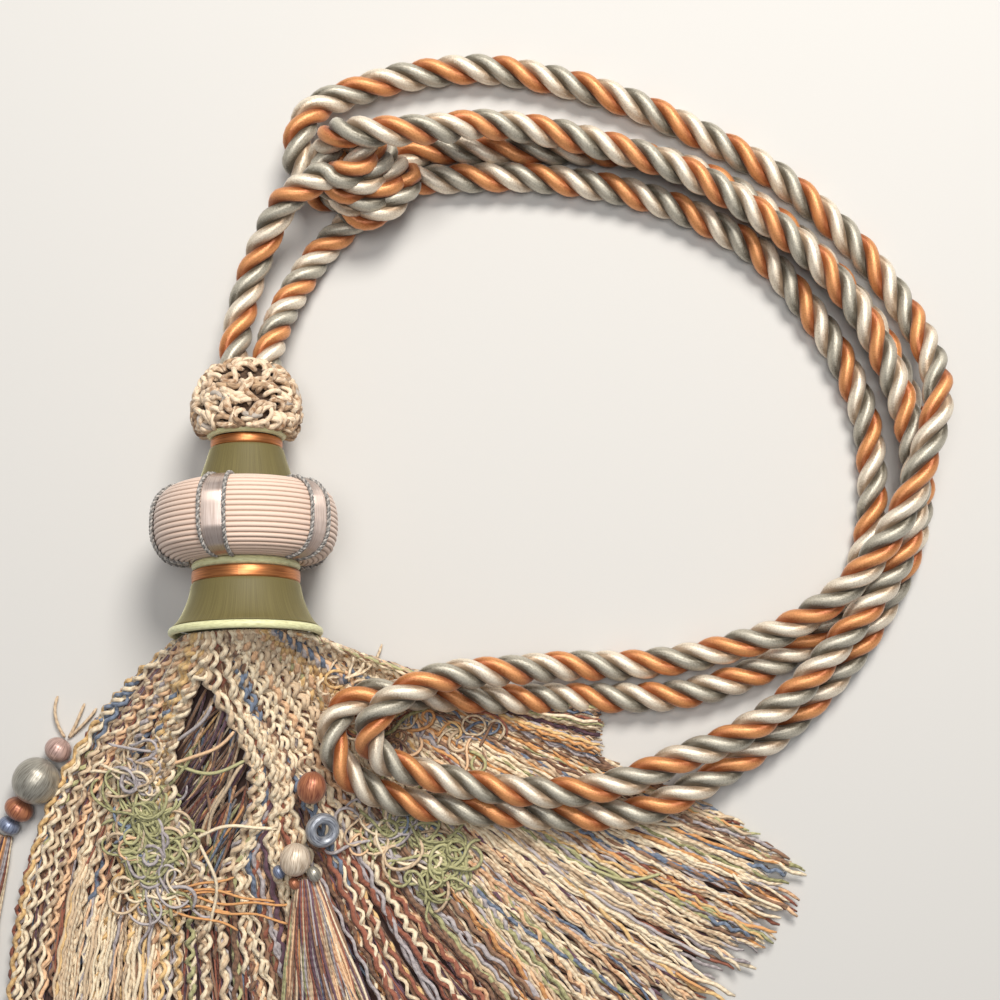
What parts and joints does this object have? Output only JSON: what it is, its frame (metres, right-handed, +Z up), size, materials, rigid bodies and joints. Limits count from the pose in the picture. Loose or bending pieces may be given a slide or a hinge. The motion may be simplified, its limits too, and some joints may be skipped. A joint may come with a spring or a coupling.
{
  "type": "curtain tieback tassel",
  "caption": "Turned and yarn-bound tassel head with a spreading thread skirt, beaded drops and a twisted rope knotted above it and laid in loops.",
  "frame": {"origin": "centre of the flat spot under the bulge of the tassel's head, on the surface that the tassel lies on", "axes": "+Z up from the surface, +Y along the head from the bell towards the ruff, seen from above, +X to the side that the rope loops lie on"},
  "size_m": [0.3127, 0.3478, 0.0545],
  "materials": {
    "ruff_yarn": "knotted cream and brown yarn loops, matt",
    "lime_cord": "pale lime wound cord, slight sheen",
    "copper_satin": "copper satin ribbon",
    "olive_wrap": "fine olive thread wrapped lengthways, soft sheen",
    "cream_cord": "cream cords laid side by side",
    "silver_satin": "pinkish silver satin ribbon with twisted edges",
    "skirt_thread": "mixed crinkled and looped yarns in cream, peach, blue, green and brown",
    "drop_thread": "straight red-brown and purple threads",
    "rope_satin": "three twisted satin strands in orange, cream and grey",
    "bead_satin": "beads wrapped in satin thread"
  },
  "bodies": {
    "root": {"neck_ruff": "ruff_yarn", "neck_ring": "lime_cord", "neck_band": "copper_satin", "upper_cone": "olive_wrap", "bulge": "cream_cord", "bulge_ribbon_1": "silver_satin", "bulge_ribbon_2": "silver_satin", "bulge_ribbon_3": "silver_satin", "bulge_ribbon_4": "silver_satin", "bulge_ribbon_5": "silver_satin", "waist_ring": "lime_cord", "waist_band": "copper_satin", "lower_bell": "olive_wrap", "bell_rim": "lime_cord", "skirt": "skirt_thread", "side_bead_pink": "bead_satin", "side_bead_silver": "bead_satin", "side_bead_copper": "bead_satin", "side_bead_blue": "bead_satin", "side_drop": "drop_thread", "front_bead_copper": "bead_satin", "front_bead_ring": "bead_satin", "front_bead_cream": "bead_satin", "front_drop": "drop_thread", "rope_leg_left": "rope_satin", "rope_knot": "rope_satin", "rope_outer_loop": "rope_satin", "rope_inner_loop": "rope_satin", "rope_leg_right": "rope_satin"}
  },
  "joints": []
}
